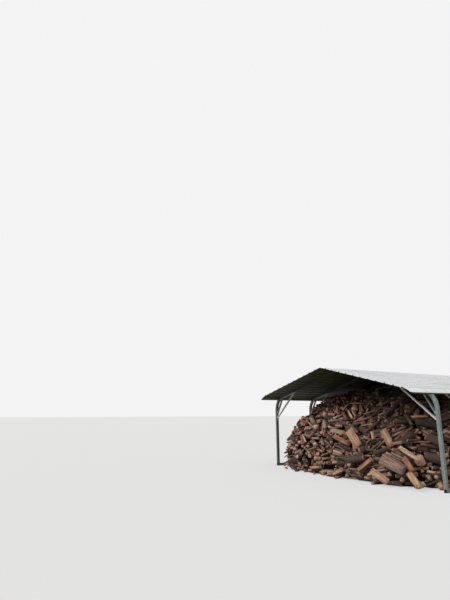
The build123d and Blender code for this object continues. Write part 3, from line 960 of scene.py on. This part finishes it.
class LOGSTORE_OT_firewood(bpy.types.Operator):
    """Lay the logs of the heap one by one over its inside in painted shade"""

    bl_idname = "logstore.firewood"
    bl_label = "Firewood"

    def execute(self, context):
        wood = context.scene.log_store_wood
        chance = np.random.default_rng(wood.seed)
        pile = Pile()
        shapes = log_shapes()
        finishes = [bark_finish(), split_finish(), end_finish()]
        self.model_inside(pile)
        laid = self.lay_logs(pile, shapes, wood, chance)
        thrown = self.throw_splits(shapes, chance)
        laid += self.plug_gaps(laid + thrown, shapes, wood, chance)
        for number, first in enumerate(range(0, len(laid), LOGS_IN_PIECE), 1):
            group = laid[first:first + LOGS_IN_PIECE]
            self.finish_piece(joined(f"split_logs_{number}", group, finishes), "stacked_wood")
        self.finish_piece(joined("thrown_splits", thrown, finishes), "loose_wood")
        return {"FINISHED"}

    def finish_piece(self, piece, slot):
        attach(piece, "root")
        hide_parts(*HEAP_NODES)

    def model_inside(self, pile):
        """Inside of the heap in painted shade, well under its outer logs."""
        step = 4
        grid = pile.inside[::step, ::step]
        across, along = (size - 1 for size in grid.shape)
        clear_selection()
        bpy.ops.mesh.primitive_grid_add(x_subdivisions=across, y_subdivisions=along, size=1)
        piece = bpy.context.object
        piece.name = piece.data.name = "heap_inside"
        for vertex in piece.data.vertices:
            i, j = round((vertex.co.x + 0.5) * across), round((vertex.co.y + 0.5) * along)
            vertex.co = *pile.place(i * step, j * step), max(grid[i, j] - 0.02, 0.0)
        select_faces(piece, lambda face: face.center.z < 0.001)
        bpy.ops.mesh.delete(type="FACE")
        bpy.ops.mesh.select_non_manifold()
        bpy.ops.mesh.edge_face_add()
        set_mode("OBJECT")
        piece.data.materials.append(shade_finish())
        self.finish_piece(piece, "stacked_wood")

    def lay_logs(self, pile, shapes, wood, chance):
        """Logs dropped one by one where the heap is lowest, until it has its form."""
        laid = []
        for shortest, least in LAYING_ROUNDS:
            cells = [(i, j, 0) for i, j in np.argwhere(pile.top > 0.06) if i % 2 == j % 2 == 0]
            while cells:
                picks = chance.integers(len(cells), size=6)
                pick = min(picks, key=lambda k: pile.height[cells[k][:2]])
                i, j, tried = cells[pick]
                spare = pile.top[i, j] - pile.height[i, j]
                placed = spare > least and self.drop_log(
                    pile, shapes, wood, chance, i, j, spare, shortest)
                if placed:
                    laid.append(placed)
                elif spare > least and tried < MOST_TRIES:
                    cells[pick] = i, j, tried + 1
                else:
                    cells[pick] = cells[-1]
                    cells.pop()
        return laid

    def drop_log(self, pile, shapes, wood, chance, i, j, spare, shortest):
        """One log near a cell of the pile, the snuggest of some tries within the heap's form.

        Low down at the front left logs are shorter and thinner.
        """
        count = TRIES_IN_DROP
        x, y = pile.place(i, j)
        small = x < 0.2 and y < -1 and pile.height[i, j] < 1.0
        length = wood.log_length * chance.uniform(shortest, shortest + 0.25, count)
        length = length * (0.85 if small else 1.0)
        widest = wood.most_width - 0.06 * small
        width = wood.least_width + (widest - wood.least_width) * chance.random(count) ** 1.5
        width = np.minimum(width, max(wood.least_width, spare * 1.2))
        turn = self.lie(pile, chance, i, j, count)
        slide = chance.uniform(-0.4, 0.4, count) * length
        cx, cy = x + slide * np.cos(turn), y + slide * np.sin(turn)
        middle, slope, space, room = pile.rest(cx, cy, turn, length, width)
        fits = (np.abs(slope) < 0.8) & (room > width * 0.7)
        if not fits.any():
            return None
        best = np.where(fits, space - width * 0.2, np.inf).argmin()
        shape, rolls = shapes[chance.integers(len(shapes))]
        roll = rolls[chance.integers(len(rolls))] + chance.uniform(-0.1, 0.1)
        place = [values[best] for values in (cx, cy, turn, middle, slope, length, width)]
        matrix, scale, thick = settled(shape, *place, roll)
        pile.raise_under(*place, thick * 0.9)
        shift = chance.uniform(0, 20, 2)
        return Part(shape, matrix, scale, shift, log_tone(chance, cx[best], middle[best]))

    def lie(self, pile, chance, i, j, count):
        """Ways in which logs point, seen from above: out of the heap, across it or anyhow."""
        x, y = pile.place(i, j)
        main = math.atan2(-pile.slope[1][i, j], -pile.slope[0][i, j]) + 0.2
        if y < 0:
            main = math.radians(-40 if x < 0.3 else 48)
        crossing = chance.random() < 0.16
        turn = main + crossing * math.pi / 2 + chance.normal(0.0, 0.3, count)
        return np.where(chance.random(count) > 0.85, chance.uniform(0, math.pi, count), turn)

    def throw_splits(self, shapes, chance):
        """Large splits that lean on the front of the heap."""
        laid = []
        for x, y, z, turn, roll, slope, length, width, kind, tone in THROWN:
            shape = shapes[kind][0]
            matrix, scale, _ = settled(
                shape, x, y, math.radians(turn), z - width * 0.4, slope, length, width,
                math.radians(roll))
            laid.append(Part(shape, matrix, scale, chance.uniform(0, 20, 2), tone))
        return laid

    def plug_gaps(self, laid, shapes, wood, chance):
        """Logs pushed into the deep gaps between the others, with one end showing."""
        form = node_tree(HEAP_NODES)
        trees = [log_tree(laid)]
        added = []
        for _ in range(PLUG_ROUNDS):
            plugs = []
            for _ in range(RAYS_IN_ROUND):
                plug = self.find_gap(form, trees, plugs, chance)
                if plug:
                    plugs.append(plug)
            if not plugs:
                break
            logs = [self.plug_log(plug, shapes, wood, chance) for plug in plugs]
            trees.append(log_tree(logs))
            added += logs
        return added

    def find_gap(self, form, trees, plugs, chance):
        """Mouth, direction and half width of a gap seen along a chance ray, if it meets one."""
        angle = chance.uniform(0, 2 * math.pi)
        inward = Vector((-math.cos(angle), -math.sin(angle), -math.tan(chance.uniform(0, 0.4))))
        inward.normalize()
        side = inward.cross(Vector((0, 0, 1))).normalized()
        up = side.cross(inward)
        start = side * chance.uniform(-3.3, 3.3) + Vector((0, 0, chance.uniform(0.05, 1.9)))
        start -= inward * 9
        reach = form.ray_cast(start, inward)[3]
        if reach is None or self.depth(trees, start, inward) - reach < LEAST_DEPTH:
            return None
        mouth = start + inward * (reach + MOUTH_DEPTH)
        if any((mouth - plug[0]).length < PLUG_SPACING for plug in plugs):
            return None
        for radius in GAP_RADII:
            ring = [start + side * radius * math.cos(turn) + up * radius * math.sin(turn)
                    for turn in RING_TURNS]
            if all(self.depth(trees, point, inward) - reach > RING_DEPTH for point in ring):
                return mouth, inward, radius
        return None

    def depth(self, trees, start, inward):
        """How far a ray goes before it meets a log."""
        hits = [tree.ray_cast(start, inward)[3] for tree in trees]
        return min([hit for hit in hits if hit is not None], default=math.inf)

    def plug_log(self, plug, shapes, wood, chance):
        """Log that fills a gap, nearly level and with its outer end at the mouth."""
        mouth, inward, radius = plug
        length = wood.log_length * chance.uniform(0.8, 1.05)
        width = radius * 2.1
        shape = shapes[chance.integers(len(shapes))][0]
        turn = math.atan2(inward.y, inward.x) + chance.uniform(-0.2, 0.2)
        slope = chance.uniform(-0.15, 0.25)
        middle = mouth + Vector((math.cos(turn), math.sin(turn), slope)) * (length / 2 - 0.02)
        low = max(middle.z - width * 0.4, 0.0)
        place = (middle.x, middle.y, turn, low, slope if low > 0.1 else 0.0)
        matrix, scale, _ = settled(shape, *place, length, width, chance.uniform(0, 6.28))
        tone = log_tone(chance, mouth.x, mouth.z)
        return Part(shape, matrix, scale, chance.uniform(0, 20, 2), tone)


class LOGSTORE_OT_stage(bpy.types.Operator):
    """Set the pale floor, the soft light and the camera"""

    bl_idname = "logstore.stage"
    bl_label = "Stage"

    def execute(self, context):
        scene = context.scene
        stage = scene.log_store_stage
        clear_selection()
        bpy.ops.mesh.primitive_plane_add(size=400)
        floor = bpy.context.object
        floor.name = floor.data.name = "stage_floor"
        floor.data.materials.append(pale_finish("stage_floor", stage.floor_colour, FLOOR_GLOW))
        scene.world = sky_light("studio", stage.sky)
        self.add_lamp("soft_front", place=(-1.5, -9.0, 6.6), strength=stage.front, spread=36)
        self.add_lamp("soft_top", place=(6.0, -3.0, 11.0), strength=stage.top, spread=70)
        self.add_camera(scene, stage.lens)
        scene.view_settings.view_transform = "Standard"
        return {"FINISHED"}

    def add_lamp(self, name, place, strength, spread):
        """Sun lamp that shines from a place to the middle of the part."""
        lamp = bpy.data.lights.new(name, "SUN")
        lamp.energy = strength
        lamp.angle = math.radians(spread)
        self.put(name, lamp, place, Vector(place).to_track_quat("Z", "Y").to_euler())

    def add_camera(self, scene, lens):
        camera = bpy.data.cameras.new("camera")
        camera.lens = lens
        camera.sensor_width = 36.0
        angles = [math.radians(angle) for angle in CAMERA_ANGLES]
        scene.camera = self.put("camera", camera, CAMERA_PLACE, angles)

    def put(self, name, data, place, angles):
        placed = bpy.data.objects.new(name, data)
        placed.location = place
        placed.rotation_euler = angles
        bpy.context.scene.collection.objects.link(placed)
        return placed


class LOGSTORE_PT_sidebar(bpy.types.Panel):
    """Pieces and sizes of the log store"""

    bl_idname = "LOGSTORE_PT_sidebar"
    bl_label = "Log Store"
    bl_space_type = "VIEW_3D"
    bl_region_type = "UI"
    bl_category = "Log Store"

    def draw(self, context):
        for operator in OPERATORS:
            self.layout.operator(operator.bl_idname)
        for key, group in GROUPS.items():
            box = self.layout.box()
            for name in group.__annotations__:
                box.prop(getattr(context.scene, key), name)


GROUPS = {
    "log_store_steel": LogStoreSteel,
    "log_store_wood": LogStoreWood,
    "log_store_stage": LogStoreStage,
}
OPERATORS = (
    LOGSTORE_OT_frame_finish,
    LOGSTORE_OT_roof_finish,
    LOGSTORE_OT_screws,
    LOGSTORE_OT_firewood,
    LOGSTORE_OT_stage,
)


def register():
    for group in (*GROUPS.values(), *OPERATORS, LOGSTORE_PT_sidebar):
        bpy.utils.register_class(group)
    for name, group in GROUPS.items():
        setattr(bpy.types.Scene, name, PointerProperty(type=group))


def unregister():
    for name in GROUPS:
        delattr(bpy.types.Scene, name)
    for group in (LOGSTORE_PT_sidebar, *reversed(OPERATORS), *GROUPS.values()):
        bpy.utils.unregister_class(group)


def main():
    register()
    bpy.ops.logstore.frame_finish()
    bpy.ops.logstore.roof_finish()
    bpy.ops.logstore.screws()
    bpy.ops.logstore.firewood()
    bpy.ops.logstore.stage()
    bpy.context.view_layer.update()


if __name__ == "__main__":
    main()
